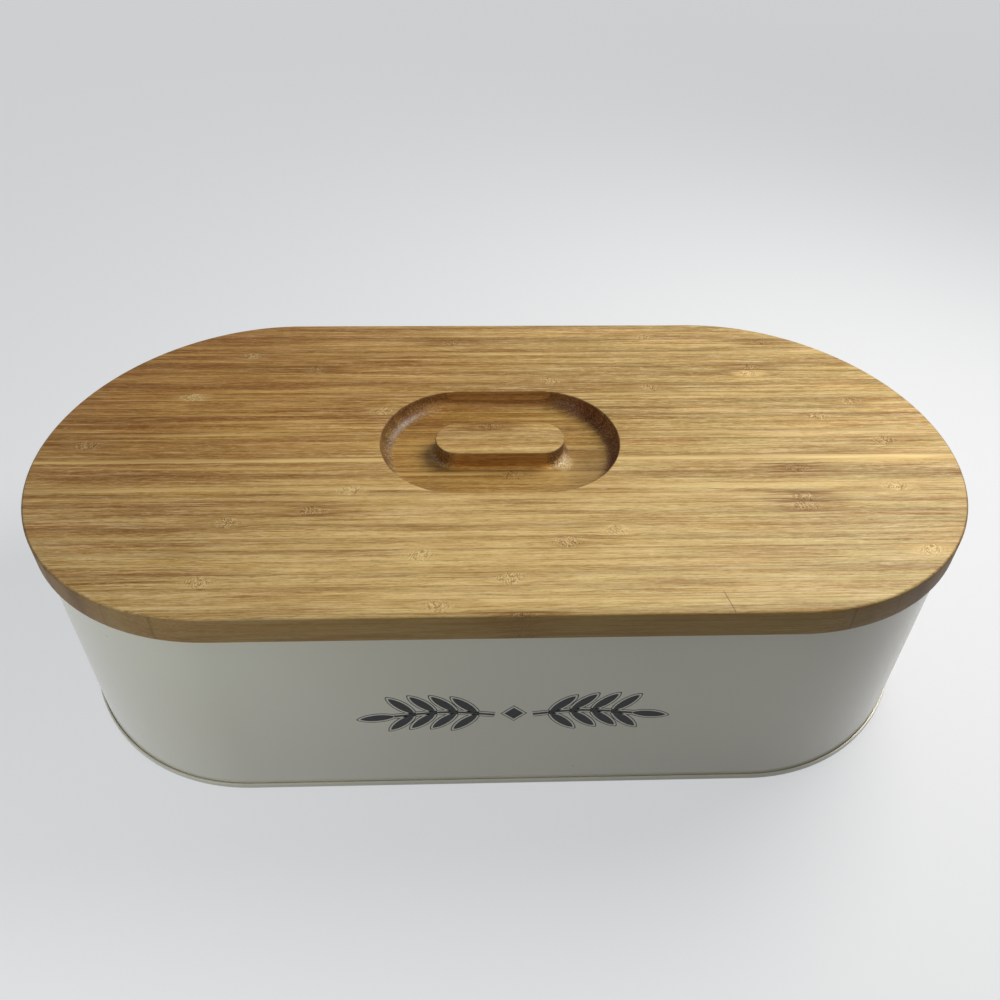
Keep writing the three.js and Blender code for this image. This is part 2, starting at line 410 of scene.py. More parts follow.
def pan_mesh():
    """Bottom pan: raised floor, a leg down to the table, and the channel round the wall's foot."""
    bm = bmesh.new()
    channel = -(SHEET + SEAM_CLEARANCE)
    leg = channel - PAN_SHEET
    bead = SEAM_CLEARANCE + PAN_SHEET
    bend = PAN_CORNER_RADIUS - PAN_SHEET
    low_bead = (bead - SEAM_EDGE_RADIUS, SEAM_EDGE_RADIUS)
    high_bead = (bead - SEAM_EDGE_RADIUS, SEAM_HEIGHT - SEAM_EDGE_RADIUS)
    under_z = PAN_HIGH.z - PAN_SHEET
    corner = (channel - PAN_CORNER_RADIUS, PAN_HIGH.z - PAN_CORNER_RADIUS)
    rings = add_section(bm, BIN_LENGTH, BIN_WIDTH, [
        *arc((leg - bend, under_z - bend), bend, 1, 0, EDGE_STEPS),
        (leg, SEAM_EDGE_RADIUS),
        *arc((leg + SEAM_EDGE_RADIUS, SEAM_EDGE_RADIUS), SEAM_EDGE_RADIUS, -2, -1, EDGE_STEPS)[1:],
        *arc(low_bead, SEAM_EDGE_RADIUS, -1, 0, EDGE_STEPS),
        *arc(high_bead, SEAM_EDGE_RADIUS, 0, 1, EDGE_STEPS),
        (SEAM_CLEARANCE, SEAM_HEIGHT),
        (SEAM_CLEARANCE, PAN_SHEET),
        (channel, PAN_SHEET),
        *arc(corner, PAN_CORNER_RADIUS, 0, 1, EDGE_STEPS),
    ])
    bm.faces.new(list(reversed(rings[0])))
    bm.faces.new(rings[-1])
    return bm


# Printed ornament: two sprigs of wheat on either side of a lozenge

def grain(place, angle, length, width, grow):
    """Pointed oval, grown outwards all round."""
    long, wide = length / 2 + GRAIN_TIP_GROWTH * grow, width / 2 + grow
    points = []
    for i in range(GRAIN_STEPS * 2):
        turn = math.pi * i / GRAIN_STEPS
        u = long * math.cos(turn)
        v = wide * math.sin(turn) * abs(math.sin(turn)) ** GRAIN_POINT
        points.append((
            place[0] + u * math.cos(angle) - v * math.sin(angle),
            place[1] + u * math.sin(angle) + v * math.cos(angle),
        ))
    return points


def stem_point(share):
    """Point and slope of the right sprig's stem: a low bow that rises towards the tip."""
    length = STEM_END - STEM_START
    turn = STEM_BOW_TURN * (share - STEM_BOW_FROM)
    slope = math.atan(STEM_BOW * STEM_BOW_TURN * math.cos(turn) / length)
    return (STEM_START + length * share, STEM_BOW * math.sin(turn)), slope


def stem(grow):
    """Outline of the right-hand sprig's stem."""
    points = [stem_point(i / GRAIN_STEPS) for i in range(GRAIN_STEPS + 1)]
    half = STEM_WIDTH / 2 + grow
    upper = [(x - half * math.sin(a), z + half * math.cos(a)) for (x, z), a in points]
    lower = [(x + half * math.sin(a), z - half * math.cos(a)) for (x, z), a in points]
    return lower + upper[::-1]


def sprig(grow):
    """Outlines of the right-hand sprig."""
    shapes = [stem(grow)]
    for i in range(GRAIN_PAIRS):
        share = GRAINS_FROM + (1 - GRAINS_FROM) * i / GRAIN_PAIRS
        x, z = stem_point(share)[0]
        for side in (1, -1):
            angle = side * GRAIN_SPREAD
            reach = GRAIN_LENGTH * SIDE_GRAIN_REACH
            place = (x + reach * math.cos(angle), z + reach * math.sin(angle))
            shapes.append(grain(place, angle, GRAIN_LENGTH, GRAIN_WIDTH, grow))
    (x, z), slope = stem_point(1)
    reach = GRAIN_LENGTH * TIP_GRAIN_REACH
    tip = (x + reach * math.cos(slope), z + reach * math.sin(slope))
    shapes.append(grain(tip, slope, GRAIN_LENGTH, GRAIN_WIDTH, grow))
    return shapes


def ornament(grow):
    """Outlines of both sprigs and the lozenge between them."""
    shapes = sprig(grow)
    shapes += [[(-x, z) for x, z in shape[::-1]] for shape in shapes]
    size = LOZENGE_SIZE / 2 + LOZENGE_CORNER_GROWTH * grow
    shapes.append([(size, 0), (0, size), (-size, 0), (0, -size)])
    return shapes


def ornament_mesh():
    """Three thin layers of print on the front: the outline, the ground inside it and the fill."""
    bm = bmesh.new()
    wall_y = -BIN_WIDTH / 2
    layers = ((OUTLINE_GAP + OUTLINE_WIDTH, 0), (OUTLINE_GAP, 1), (0, 0))
    for level, (grow, material) in enumerate(layers, 1):
        front = wall_y - PRINT_LAYER * level
        for shape in ornament(grow):
            near, far = (
                [bm.verts.new((ORNAMENT_X + x, y, ORNAMENT_Z + z)) for x, z in shape]
                for y in (front, wall_y + PRINT_LAYER)
            )
            count = len(shape)
            faces = [bm.faces.new(near), bm.faces.new(far[::-1])]
            for i in range(count):
                after = (i + 1) % count
                faces.append(bm.faces.new((near[i], far[i], far[after], near[after])))
            for face in faces:
                face.material_index = material
    return bm


# Materials

MAP_RANGE_INPUTS = ("From Min", "From Max", "To Min", "To Max")


class Shader:
    """Short calls for building one node material."""

    def __init__(self, name):
        self.material = bpy.data.materials.new(name)
        self.material.use_nodes = True
        self.tree = self.material.node_tree
        self.surface = self.tree.nodes["Principled BSDF"]

    def node(self, kind, **values):
        made = self.tree.nodes.new(kind)
        for key, value in values.items():
            setattr(made, key, value)
        return made

    def put(self, socket, value):
        if isinstance(value, bpy.types.NodeSocket):
            self.tree.links.new(value, socket)
        else:
            socket.default_value = value

    def math(self, operation, *values):
        made = self.node("ShaderNodeMath", operation=operation)
        for socket, value in zip(made.inputs, values):
            self.put(socket, value)
        return made.outputs[0]

    def fold(self, operation, values):
        """Carries an operation through several values, from the first to the last."""
        result = values[0]
        for value in values[1:]:
            result = self.math(operation, result, value)
        return result

    def times(self, *values):
        return self.fold("MULTIPLY", values)

    def plus(self, *values):
        return self.fold("ADD", values)

    def minus(self, first, second):
        return self.math("SUBTRACT", first, second)

    def absolute(self, value):
        return self.math("ABSOLUTE", value)

    def split(self, vector):
        parts = self.node("ShaderNodeSeparateXYZ")
        self.put(parts.inputs[0], vector)
        return parts.outputs

    def place(self):
        """Separate x, y and z of the point, in millimetres."""
        coordinates = self.node("ShaderNodeTexCoord")
        scaled = self.node("ShaderNodeVectorMath", operation="SCALE")
        self.put(scaled.inputs[0], coordinates.outputs["Object"])
        self.put(scaled.inputs["Scale"], 1 / MM)
        return self.split(scaled.outputs[0])

    def vector(self, x, y, z):
        made = self.node("ShaderNodeCombineXYZ")
        for socket, value in zip(made.inputs, (x, y, z)):
            self.put(socket, value)
        return made.outputs[0]

    def noise(self, vector, scale=1.0, detail=2.0, roughness=0.5, distortion=0.0):
        made = self.node("ShaderNodeTexNoise")
        self.put(made.inputs["Vector"], vector)
        made.inputs["Scale"].default_value = scale
        made.inputs["Detail"].default_value = detail
        made.inputs["Roughness"].default_value = roughness
        made.inputs["Distortion"].default_value = distortion
        return made.outputs[0]

    def spread(self, value, low, high, to_low=0.0, to_high=1.0, smooth=True):
        """Carries the value from one range over to another and holds it there."""
        made = self.node("ShaderNodeMapRange")
        made.interpolation_type = "SMOOTHSTEP" if smooth else "LINEAR"
        self.put(made.inputs["Value"], value)
        for key, number in zip(MAP_RANGE_INPUTS, (low, high, to_low, to_high)):
            self.put(made.inputs[key], number)
        return made.outputs[0]

    def mix(self, share, first, second, blend="MIX"):
        made = self.node("ShaderNodeMix", data_type="RGBA", blend_type=blend)
        self.put(made.inputs[0], share)
        self.put(made.inputs[6], first)
        self.put(made.inputs[7], second)
        return made.outputs[2]

    def tint(self, share, colour, factors):
        """Multiplies red, green and blue by three factors."""
        return self.mix(share, colour, (*factors, 1.0), "MULTIPLY")

    def bump(self, height, strength, distance):
        made = self.node("ShaderNodeBump")
        made.inputs["Strength"].default_value = strength
        made.inputs["Distance"].default_value = distance
        self.put(made.inputs["Height"], height)
        self.put(self.surface.inputs["Normal"], made.outputs[0])


def rgb(red, green, blue):
    """Colour as seen on a screen, 0 to 255, turned to the linear values that shaders take."""
    def linear(level):
        level /= 255
        return level / 12.92 if level <= 0.04045 else ((level + 0.055) / 1.055) ** 2.4
    return (linear(red), linear(green), linear(blue), 1.0)


# Tones of the bamboo
DARK_STRIP = rgb(146, 101, 32)
PALE_STRIP = rgb(200, 161, 86)
# Painted light and shade of the board: a paler front, a deeper rear and left, and a sheen on the right
FRONT_PAINTED_LIGHT_TONE = rgb(244, 213, 140)
REAR_PAINTED_SHADE_TONE = rgb(122, 90, 32)
LEFT_PAINTED_SHADE_TONE = rgb(140, 86, 12)
RIGHT_PAINTED_SHEEN_TONE = rgb(160, 148, 90)
# Painted light along the middle of the front
PAINTED_LIGHT_TONE = rgb(250, 218, 150)
VESSEL_TONE = rgb(94, 62, 30)
PALE_LINE_TONE = rgb(232, 202, 138)
RIND_TONE = rgb(122, 84, 34)
PITH_TONE = rgb(224, 190, 122)
SMEAR_TONE = rgb(126, 80, 24)
GLOW_TONE = rgb(220, 186, 122)
STROKE_TONE = rgb(104, 62, 6)
FLECK_TONE = rgb(236, 208, 148)
BORDER_TONE = rgb(108, 66, 12)
# Painted shade on upright faces
UPRIGHT_SHADE_TONE = rgb(154, 119, 70)
END_RIND_TONE = rgb(90, 60, 32)
END_PITH_TONE = rgb(126, 98, 62)
# Deeper tone of the coves' end grain, with painted shade that grows towards the right
COVE_END_GRAIN_AND_SHADE_TONE = rgb(92, 57, 22)
PALE_BUNDLE = rgb(186, 158, 104)
DARK_BUNDLE = rgb(60, 40, 16)
# Painted highlight at the grip's right root
PAINTED_HIGHLIGHT_TONE = rgb(236, 212, 164)
SCRATCH_TONE = rgb(96, 66, 34)
GLUE_TONE = rgb(116, 82, 46)

# Streaks in the order they are laid: levels of the noise where each begins and is full, its strength
# and its tone
STREAK_TONES = (
    ("ruddy", 0.5, 0.68, 0.5, rgb(168, 106, 38)),
    ("wide", 0.46, 0.66, 0.95, rgb(200, 162, 92)),
    ("wide", 0.46, 0.28, 0.95, rgb(150, 104, 48)),
    ("broad", 0.5, 0.7, 0.75, rgb(220, 188, 130)),
    ("broad", 0.5, 0.3, 0.75, rgb(140, 96, 30)),
    ("medium", 0.52, 0.7, 0.66, rgb(230, 202, 156)),
    ("medium", 0.48, 0.3, 0.74, rgb(128, 88, 24)),
    ("thin", 0.4, 0.27, 0.65, rgb(112, 72, 20)),
    ("fine", 0.5, 0.3, 0.75, rgb(120, 82, 22)),
    ("fine", 0.5, 0.7, 0.64, rgb(236, 208, 164)),
)

# Tints of the bamboo that paint light and shade, as factors of red, green and blue
# Painted shade at the left rear of the lid
LEFT_REAR_PAINTED_SHADE = (0.87, 0.72, 0.46)
# Painted shade of the recess
RECESS_PAINTED_SHADE = (0.82, 0.75, 0.57)
# Painted bounce light on upright faces in the recess
UPRIGHT_PAINTED_BOUNCE = (1.24, 1.1, 1.15)
# Painted shade: a violet cast on the right cove
RIGHT_COVE_PAINTED_SHADE = (1.4, 1.2, 1.7)
# Painted light at the foot of the grip's front
FOOT_PAINTED_LIGHT = (1.6, 1.66, 1.55)

# Front corners of the recess, darkened as painted shade: their fades along x and y, in millimetres, and
# their tints
FRONT_CORNER_PAINTED_SHADE = (
    ((22.0, 46.0), (14.0, -14.0), (0.66, 0.64, 0.7)),
    ((0.0, -32.0), (-16.0, -32.0), (0.78, 0.74, 0.7)),
)

# Finish of the bamboo: roughness on the dark and on the pale streaks, specular level off the coves and
# on them, what gloss and mattness take away there, and the height of its relief
BAMBOO_ROUGHNESS = (0.56, 0.46)
BAMBOO_SPECULAR = (0.22, 0.42)
GLOSS_SMOOTHS = 0.12
MATT_DULLS = 0.1
BAMBOO_RELIEF = 0.15 * MM

# Glue line: half its width as shares of a strip, where it ends and where it is full, and its strength
GLUE_REACH = (0.03, 0.008)
GLUE_STRENGTH = 0.4

# Levels between which a noise mostly lies
NOISE_LEVELS = (0.3, 0.7)

# Enamel: scales of its noises per millimetre, its finish, and the height of its orange peel
CLOUD_SCALE = 0.008
GRIT_SCALE = 0.9
PEEL_SCALE = 0.16
SPECK_SCALE = 0.3
ENAMEL_ROUGHNESS = (0.2, 0.26)
COAT_WEIGHT = 0.35
COAT_ROUGHNESS = 0.08
PEEL_RELIEF = 0.2 * MM

# Print: scale of its wear per millimetre, and its finish
WEAR_SCALE = 1.4
INK_ROUGHNESS = (0.36, 0.5)
INK_SPECULAR = 0.25

# Tones of the enamel and of the print, and the height in millimetres below which the enamel grows darker
# towards the bottom
DEEP_ENAMEL = rgb(226, 219, 199)
PALE_ENAMEL = rgb(231, 225, 206)
GRITTY_ENAMEL = rgb(190, 184, 168)
ENAMEL_SPECK = rgb(130, 122, 106)
LOW_ENAMEL = rgb(170, 162, 142)
DARKENING_HEIGHT = 3.5
INK = rgb(36, 36, 38)
WORN_INK = rgb(52, 52, 53)


# Bamboo

def strip_marks(s, strip, first, last):
    """The four marks of each strip, held in the steps of two ramps, whose colours stay above 0."""
    count = last - first
    share = s.math("DIVIDE", s.minus(s.plus(strip, 0.5), first), count)
    marks = []
    for pair in (0, 2):
        ramp = s.node("ShaderNodeValToRGB")
        ramp.color_ramp.interpolation = "CONSTANT"
        stops = ramp.color_ramp.elements
        for step in range(count):
            values = STRIP_MARKS.get(first + step, UNMARKED)[pair:pair + 2]
            stop = stops[step] if step < 2 else stops.new(step / count)
            stop.position = step / count
            stop.color = (values[0] / MARK_RANGE + 0.5, values[1] / MARK_RANGE + 0.5, 0, 1)
        s.put(ramp.inputs[0], share)
        parts = s.node("ShaderNodeSeparateColor")
        s.put(parts.inputs[0], ramp.outputs[0])
        marks += [s.minus(s.times(part, MARK_RANGE), MARK_RANGE / 2) for part in parts.outputs[:2]]
    return marks


class BoardPoint:
    """What the bamboo shader knows of a point of the board, with its places in millimetres."""

    def __init__(self, s, first, last):
        self.x, self.y, self.z = s.place()
        self.find_strip(s)
        self.find_knuckle(s, first, last)
        self.find_streaks(s)
        self.find_recess(s)

    def find_strip(self, s):
        """The place across the strip, from 0 to 1, and the chances drawn for the strip."""
        pitch = STRIP_PITCH / MM
        start = GLUE_LINES[1] / MM - pitch
        self.along = s.math("DIVIDE", s.minus(self.y, start), pitch)
        self.strip = s.math("FLOOR", self.along)
        self.across = s.minus(self.along, self.strip)
        self.off_middle = s.absolute(s.minus(self.across, 0.5))
        random = s.node("ShaderNodeTexWhiteNoise", noise_dimensions="1D")
        s.put(random.inputs["W"], s.plus(self.strip, 0.5))
        self.tone = random.outputs["Value"]
        self.chances = s.split(random.outputs["Color"])
        self.far_x = s.plus(self.x, s.times(self.chances[0], FIBRE_SHIFT_X))
        self.far_y = s.plus(self.y, s.times(self.chances[1], FIBRE_SHIFT_Y))

    def find_knuckle(self, s, first, last):
        """Distance along the strip to the nearer knuckle, and how far its marks reach."""
        place_1, place_2, self.darkness, self.pale_line = strip_marks(s, self.strip, first, last)
        half_length = LID_LENGTH / 2 / MM
        to_first = s.minus(self.x, s.times(place_1, half_length))
        to_second = s.minus(self.x, s.times(place_2, half_length))
        first_nearer = s.math("LESS_THAN", s.absolute(to_first), s.absolute(to_second))
        self.beside = s.plus(to_second, s.times(first_nearer, s.minus(to_first, to_second)))
        self.away = s.absolute(self.beside)
        self.ragged = self.frayed(s, *RAGGED_EDGE)
        torn = self.frayed(s, *TORN_EDGE)
        self.core = s.spread(s.plus(torn, s.times(self.off_middle, CORE_TAPER)), *CORE_REACH)
        self.lens = s.spread(s.plus(self.ragged, s.times(self.off_middle, LENS_TAPER)), *LENS_REACH)
        self.halo = s.spread(self.ragged, *HALO_REACH)

    def frayed(self, s, scale_x, scale_y, depth):
        """Distance to the knuckle, frayed by noise."""
        edge = s.noise(s.vector(s.times(self.x, scale_x), s.times(self.y, scale_y), self.z), 1.0, 2.0)
        return s.plus(self.away, s.times(s.minus(edge, 0.5), depth))

    def find_streaks(self, s):
        """The streaks. Their fibres waver a little along the strip, and swell round a knuckle."""
        swell = s.times(s.spread(self.away, SWELL_REACH, 0.0), s.times(s.minus(self.across, 0.5), SWELL))
        waver = s.noise(s.vector(s.times(self.far_x, 0.022), s.times(self.y, 0.2), 0.0), 1.0, 1.0)
        fibre_y = s.plus(self.far_y, s.plus(swell, s.times(waver, WAVER)))
        self.streaks = {}
        for name, (length, width, detail, roughness) in STREAKS.items():
            point = s.vector(
                s.math("DIVIDE", self.far_x, length),
                s.math("DIVIDE", fibre_y, width),
                s.math("DIVIDE", self.z, width),
            )
            self.streaks[name] = s.noise(point, 1.0, detail, roughness)

    def find_recess(self, s):
        """Whether the point lies in the recess, and on its end grain, where the cut bundles show."""
        self.above_floor = s.minus(self.z, RECESS_FLOOR_Z / MM)
        self.normal = s.split(s.node("ShaderNodeTexCoord").outputs["Normal"])
        self.in_recess = s.times(
            s.spread(s.minus(self.z, TOP_Z / MM), *BELOW_TOP),
            s.spread(self.above_floor, *FROM_FLOOR),
            s.spread(s.minus(s.absolute(self.y), RECESS_WIDTH / 2 / MM), *PAST_RECESS),
            s.spread(s.minus(s.absolute(self.x), RECESS_LENGTH / 2 / MM), *PAST_RECESS),
        )
        self.polished = s.times(s.spread(s.absolute(self.normal[0]), 0.05, 0.42), self.in_recess)
        self.bundles = s.noise(s.vector(self.x, self.y, self.z), 1.2, 2.0, 0.6)


def board_tone_with_painted_light(s, at):
    """A tone for each strip, with painted light paling the front, painted sheen on the right, and painted
    shade deepening the rear and left.
    """
    colour = s.mix(at.tone, DARK_STRIP, PALE_STRIP)
    # Painted light pales the front, and painted shade deepens the rear
    colour = s.mix(s.spread(at.y, *FRONT_FADE), colour, FRONT_PAINTED_LIGHT_TONE)
    colour = s.mix(s.spread(at.y, *REAR_FADE, 0.0, 0.46), colour, REAR_PAINTED_SHADE_TONE)
    # Painted shade deepens the left, and painted sheen dulls the right
    left_shade = s.times(s.spread(at.x, *LEFT_FADE, 0.0, 0.7), s.spread(at.y, *LEFT_FADE_Y, 0.7, 1.15))
    colour = s.mix(left_shade, colour, LEFT_PAINTED_SHADE_TONE)
    return s.mix(s.spread(at.x, *RIGHT_FADE, 0.0, 0.7), colour, RIGHT_PAINTED_SHEEN_TONE)


def add_streaks(s, at, colour):
    """Streaks of the fibres, vessel dashes towards the rind side, and the pale line of some strips."""
    for name, low, high, strength, tone in STREAK_TONES:
        colour = s.mix(s.spread(at.streaks[name], low, high, 0.0, strength), colour, tone)
    rind = s.spread(at.across, 0.5, 1.0, 0.25, 1.0)
    dashes = s.times(s.spread(at.streaks["dashes"], 0.38, 0.26, 0.0, 0.8), rind)
    colour = s.mix(dashes, colour, VESSEL_TONE)
    half_width = s.spread(at.x, *PALE_LINE_WIDENS, *PALE_LINE_REACH)
    line = s.spread(s.absolute(s.minus(at.across, PALE_LINE_PLACE)), half_width, PALE_LINE_CORE)
    line = s.times(line, s.spread(at.streaks["broad"], 0.25, 0.6, 0.4, 1.0), at.pale_line)
    return s.mix(line, colour, PALE_LINE_TONE)


def shade_strips(s, at, colour):
    """Each strip darkens from its pith side to its rind side; one in four lies the other way round."""
    turned = s.math("GREATER_THAN", at.chances[2], 0.75)
    place = s.vector(s.math("DIVIDE", at.far_x, 80.0), s.math("DIVIDE", at.y, 4.0), 0.0)
    uneven = s.spread(s.noise(place, 1.0, 2.0), *NOISE_LEVELS, -0.3, 0.3, False)
    from_pith = s.plus(s.absolute(s.minus(at.across, turned)), uneven)
    colour = s.mix(s.spread(from_pith, 0.5, 1.0, 0.0, 0.26), colour, RIND_TONE)
    return s.mix(s.spread(from_pith, 0.5, 0.0, 0.0, 0.2), colour, PITH_TONE)


def paint_board_light_and_shade(s, at, colour):
    """Painted light along the middle of the front, and painted shade at the left rear."""
    # Painted light: a pale band along the middle of the front
    off_painted_light = s.absolute(s.minus(at.x, PAINTED_LIGHT_X))
    painted_light = s.times(s.spread(at.y, *PAINTED_LIGHT_FADE_Y, 0.0, 0.14), s.spread(off_painted_light, *PAINTED_LIGHT_FADE_X))
    colour = s.mix(painted_light, colour, PAINTED_LIGHT_TONE)
    # Painted shade: a deeper tint at the left rear
    left_rear_shade = s.times(s.spread(at.x, *LEFT_FADE), s.spread(at.y, *LEFT_REAR_FADE_Y))
    return s.tint(left_rear_shade, colour, LEFT_REAR_PAINTED_SHADE)


def knuckle_fibres(s, at):
    """Dark strokes and pale flecks of a knuckle, which lean away from the strip's middle."""
    lean = s.times(s.spread(at.chances[2], 0.0, 1.0, -KNUCKLE_LEAN, KNUCKLE_LEAN, False), at.off_middle)
    along = s.times(s.plus(at.beside, lean, s.times(at.tone, KNUCKLE_SHIFT)), 0.8)
    curl = s.noise(s.vector(along, s.times(at.far_y, 0.45), at.z), 1.0, 4.0, 0.72, 2.2)
    strokes = s.times(at.core, s.spread(curl, 0.5, 0.42))
    flecks = s.times(at.core, s.spread(curl, 0.5, 0.57))
    return strokes, flecks


def add_knuckles(s, at, strokes, flecks, colour):
    """Marks of the knuckles. On a dark one the dark marks are strong, and on a pale one the pale ones."""
    smear = s.times(at.halo, s.spread(at.streaks["medium"], 0.62, 0.4, 0.2, 0.8))
    glow = s.times(at.lens, s.spread(at.streaks["broad"], 0.35, 0.55, 0.45, 1.0))
    border = s.times(s.spread(at.off_middle, 0.3, 0.48), s.spread(at.ragged, *BORDER_REACH))
    marks = (
        (smear, (0.1, 1.0, 0.2, 0.95), SMEAR_TONE),
        (glow, (0.0, 0.9, 0.75, 0.0), GLOW_TONE),
        (strokes, (0.0, 1.0, 0.5, 1.0), STROKE_TONE),
        (flecks, (0.0, 1.0, 0.9, 0.2), FLECK_TONE),
        (border, (0.4, 1.0, 0.0, 0.75), BORDER_TONE),
    )
    for share, strength, tone in marks:
        colour = s.mix(s.times(share, s.spread(at.darkness, *strength)), colour, tone)
    return colour


def add_upright_shade_and_end_grain(s, at, colour):
    """Upright faces are darkened as painted shade, much less in the recess, and end grain takes the
    deepest tone of all.
    """
    # Painted shade: upright faces darker than the top, much less so in the recess
    upright_shade = s.spread(s.absolute(at.normal[2]), 0.9, 0.3, 0.0, 0.68)
    upright_shade = s.times(upright_shade, s.spread(at.in_recess, 0.0, 1.0, 1.0, 0.15, False))
    colour = s.mix(upright_shade, colour, UPRIGHT_SHADE_TONE)
    turned = s.math("GREATER_THAN", at.chances[1], 0.6)
    to_rind = s.absolute(s.minus(at.across, turned))
    end_tone = s.mix(s.spread(to_rind, 0.0, 0.8), END_RIND_TONE, END_PITH_TONE)
    return s.mix(s.spread(s.absolute(at.normal[0]), 0.1, 0.6, 0.0, 0.76), colour, end_tone)


def paint_recess_light_shade_and_speckles(s, at, colour):
    """The recess is darker than the top as painted shade, with painted bounce light on its upright faces,
    deeper end grain on its coves that painted shade darkens and tints towards the right, and speckles on
    that end grain.
    """
    # Painted shade: the whole recess darker than the top
    colour = s.tint(at.in_recess, colour, RECESS_PAINTED_SHADE)
    # Painted bounce light: upright faces in the recess lightened
    upright_bounce = s.times(s.spread(s.absolute(at.normal[1]), 0.15, 0.8), at.in_recess)
    colour = s.tint(upright_bounce, colour, UPRIGHT_PAINTED_BOUNCE)
    # Deeper end grain on the coves, with painted shade that grows towards the right
    colour = s.mix(s.times(at.polished, s.spread(at.x, *COVE_SHADE_FADE, 0.2, 0.5)), colour, COVE_END_GRAIN_AND_SHADE_TONE)
    # Painted shade: a violet cast on the shaded right cove
    colour = s.tint(s.times(at.polished, s.spread(at.x, *RIGHT_COVE_SHADE_FADE)), colour, RIGHT_COVE_PAINTED_SHADE)
    for low, high, tone in ((0.54, 0.7, PALE_BUNDLE), (0.46, 0.34, DARK_BUNDLE)):
        speckles = s.times(at.polished, s.spread(at.bundles, low, high, 0.0, 0.66))
        colour = s.mix(speckles, colour, tone)
    return colour


def paint_recess_shade_light_and_highlight(s, at, colour):
    """Painted shade in the front corners, painted light at the foot of the grip's front, and a painted
    highlight at its right.
    """
    # Painted light: the foot of the grip's front lightened
    lit_foot = s.times(
        s.spread(at.above_floor, *FOOT_TOP), s.spread(at.above_floor, *FOOT_BOTTOM),
        s.spread(at.y, *FOOT_REAR), s.spread(at.y, *FOOT_FRONT), s.spread(s.absolute(at.x), *FOOT_ENDS),
    )
    colour = s.tint(lit_foot, colour, FOOT_PAINTED_LIGHT)
    # Painted shade in the front corners of the recess
    for fade_x, fade_y, tint in FRONT_CORNER_PAINTED_SHADE:
        corner = s.times(s.spread(at.x, *fade_x), s.spread(at.y, *fade_y), at.in_recess)
        colour = s.tint(corner, colour, tint)
    # Painted highlight: a pale speckled spot at the grip's right root
    highlight_x = s.minus(at.x, HIGHLIGHT_X)
    highlight_y = s.math("DIVIDE", s.minus(at.y, HIGHLIGHT_Y), HIGHLIGHT_STRETCH)
    from_highlight = s.plus(s.times(highlight_x, highlight_x), s.times(highlight_y, highlight_y))
    painted_highlight = s.times(
        s.spread(from_highlight, HIGHLIGHT_RADIUS ** 2, 0.0), s.spread(at.above_floor, *HIGHLIGHT_TOP),
        s.spread(at.bundles, 0.36, 0.64, 0.1, 0.78),
    )
    return s.mix(painted_highlight, colour, PAINTED_HIGHLIGHT_TONE)


def scratch(s, at, colour):
    """A fine scratch that runs in from the front edge."""
    from_edge = s.minus(at.y, SCRATCH_FRONT_Y)
    line_x = s.minus(SCRATCH_FRONT_X, s.times(from_edge, SCRATCH_LEAN))
    off_line = s.absolute(s.minus(at.x, line_x))
    off_end = s.minus(from_edge, SCRATCH_REACH)
    share = s.times(s.spread(off_line, *SCRATCH_WIDTH), s.spread(off_end, 0.0, -SCRATCH_FADE, 0.0, 0.6))
    return s.mix(s.times(share, s.spread(at.normal[2], 0.6, 0.95)), colour, SCRATCH_TONE)


def set_bamboo_gloss(s, at):
    """Satin, glossier on the pale streaks and on the coves, but matt in the right-hand one."""
    glossy = s.times(at.polished, s.spread(at.x, *GLOSS_FADE))
    roughness = s.spread(at.streaks["medium"], *NOISE_LEVELS, *BAMBOO_ROUGHNESS, False)
    s.put(s.surface.inputs["Roughness"], s.minus(roughness, s.times(glossy, GLOSS_SMOOTHS)))
    specular = s.spread(glossy, 0.0, 1.0, *BAMBOO_SPECULAR, False)
    matt = s.times(at.polished, s.spread(at.x, *MATT_FADE, 0.0, MATT_DULLS))
    s.put(s.surface.inputs["Specular IOR Level"], s.minus(specular, matt))


def bamboo(first, last):
    """Edge-glued bamboo for the strips from first up to last."""
    s = Shader(f"bamboo_{first:02d}_{last:02d}")
    at = BoardPoint(s, first, last)
    strokes, flecks = knuckle_fibres(s, at)
    colour = board_tone_with_painted_light(s, at)
    colour = add_streaks(s, at, colour)
    colour = shade_strips(s, at, colour)
    colour = paint_board_light_and_shade(s, at, colour)
    colour = add_knuckles(s, at, strokes, flecks, colour)
    colour = add_upright_shade_and_end_grain(s, at, colour)
    colour = paint_recess_light_shade_and_speckles(s, at, colour)
    colour = paint_recess_shade_light_and_highlight(s, at, colour)
    if first == 0:
        colour = scratch(s, at, colour)
    to_glue = s.absolute(s.minus(s.math("FRACT", s.plus(at.along, 0.5)), 0.5))
    glue_line = s.spread(to_glue, *GLUE_REACH, 0.0, GLUE_STRENGTH)
    s.put(s.surface.inputs["Base Color"], s.mix(glue_line, colour, GLUE_TONE))
    set_bamboo_gloss(s, at)
    height = s.plus(
        at.streaks["fine"], s.times(at.bundles, at.polished, 3.0),
        s.times(strokes, -0.6), s.times(glue_line, -0.5),
    )
    s.bump(height, 0.25, BAMBOO_RELIEF)
    return s.material


# Enamel and print

